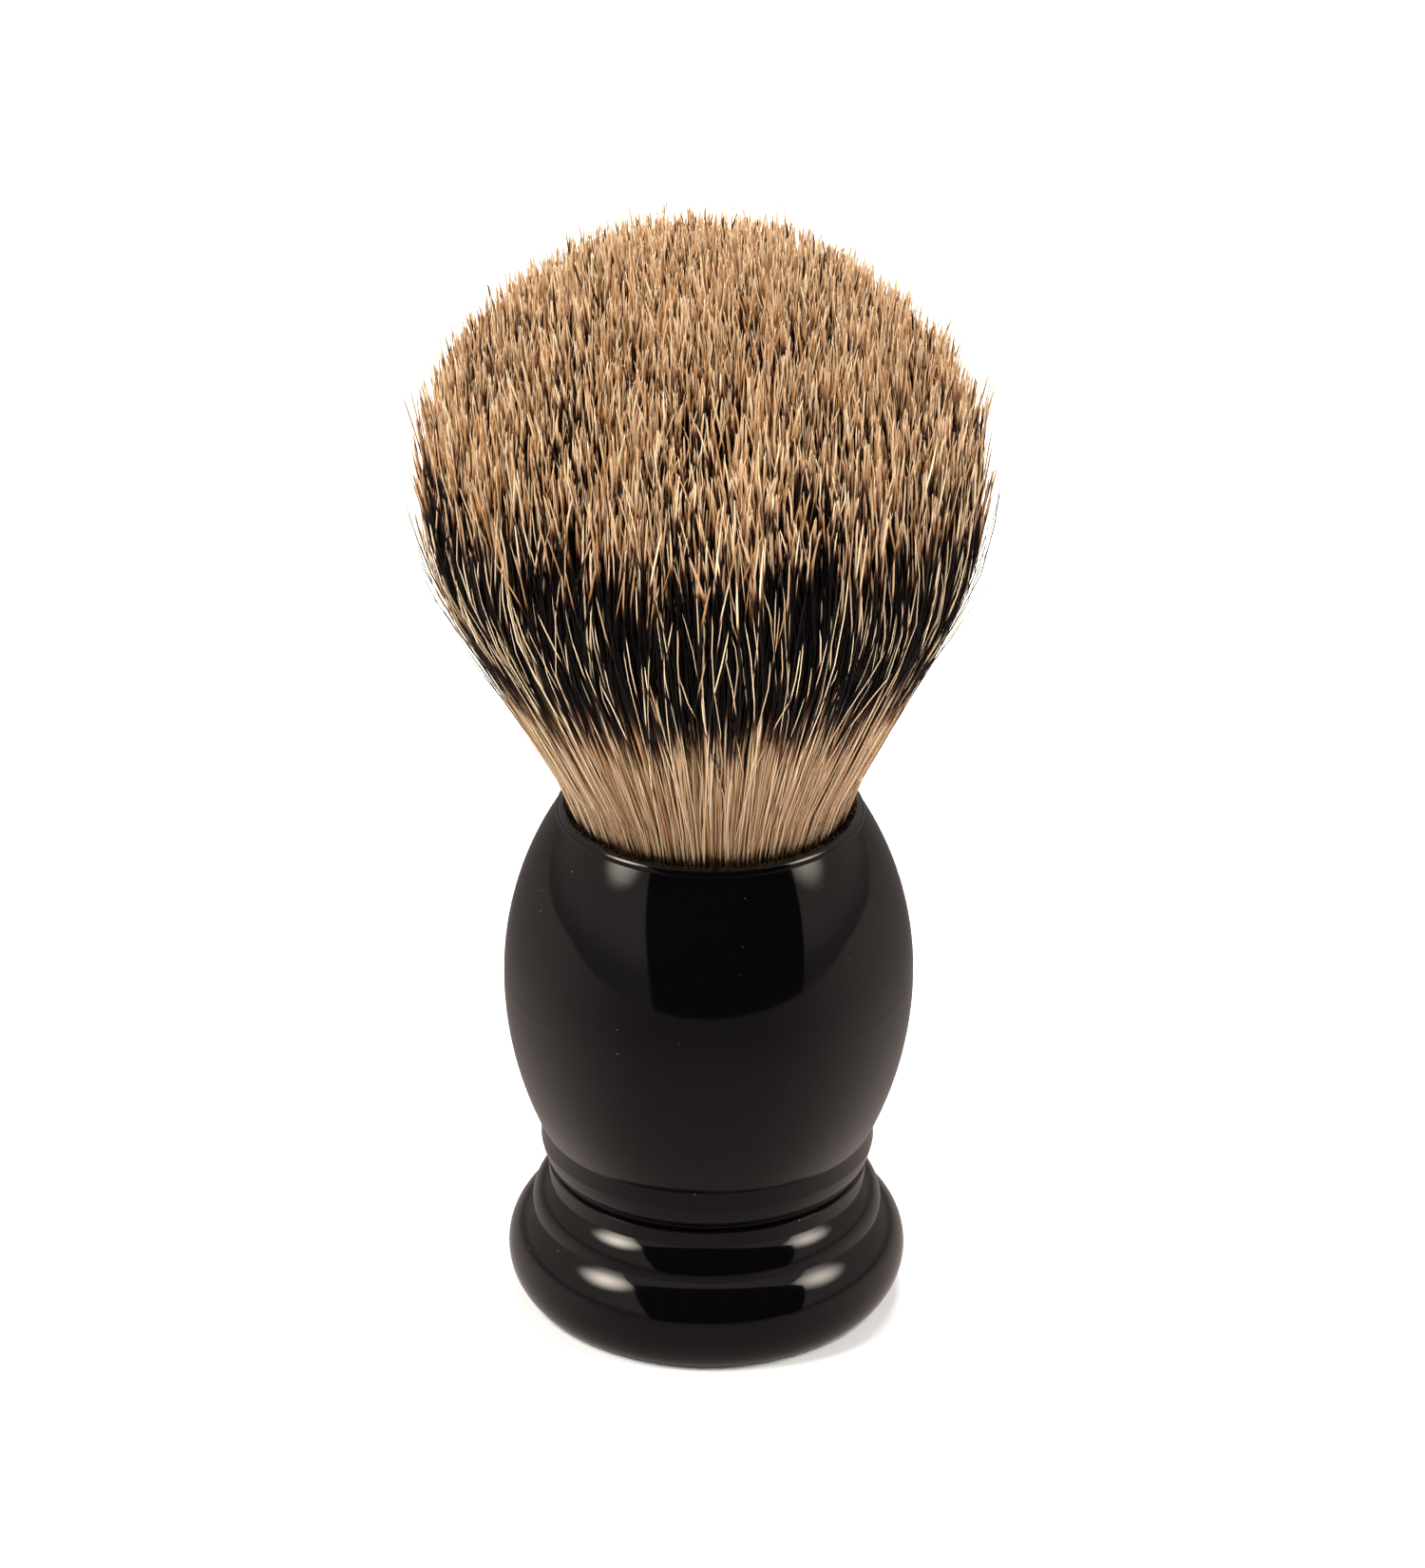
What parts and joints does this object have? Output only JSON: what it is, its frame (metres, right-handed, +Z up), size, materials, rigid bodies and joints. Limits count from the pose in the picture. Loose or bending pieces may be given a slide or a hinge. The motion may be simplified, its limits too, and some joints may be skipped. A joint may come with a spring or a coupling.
{
  "type": "shaving brush",
  "caption": "Shaving brush: turned glossy black two-part handle with a flared foot, inner weight, and a domed fan-shaped knot of banded badger hair.",
  "frame": {"origin": "centre of the underside, on the plane of the ring that the brush stands on", "axes": "+Z up along the brush's axis, from the foot to the crown of the hair; +X and +Y are arbitrary, because the brush is round"},
  "size_m": [0.0464, 0.0464, 0.0975],
  "materials": {
    "black_resin": "polished black turned resin, mirror gloss",
    "clear_adhesive": "cured amber-clear adhesive",
    "weight_steel": "turned steel",
    "potting_resin": "dark cast potting, satin",
    "knot_resin": "cured adhesive full of hair roots, satin",
    "waxed_thread": "waxed linen thread",
    "badger_hair": "banded badger hair: blond tips, black-brown band, blond roots"
  },
  "bodies": {
    "handle": {"handle_foot": "black_resin", "handle_barrel": "black_resin", "joint_adhesive": "clear_adhesive", "ballast_slug": "weight_steel", "ballast_bedding": "potting_resin", "socket_adhesive": "clear_adhesive", "knot_plug": "knot_resin", "knot_binding": "waxed_thread"},
    "tuft": {"hair_tuft": "badger_hair"}
  },
  "joints": [
    {"name": "tuft_bend", "type": "hinge", "parent": "handle", "child": "tuft", "pos_m": [0, 0, 0.0457], "axis": [1, 0, 0], "range_deg": [-25, 25], "stiffness_Nm_per_rad": 0.15, "deforming": ["hair_tuft"]}
  ]
}
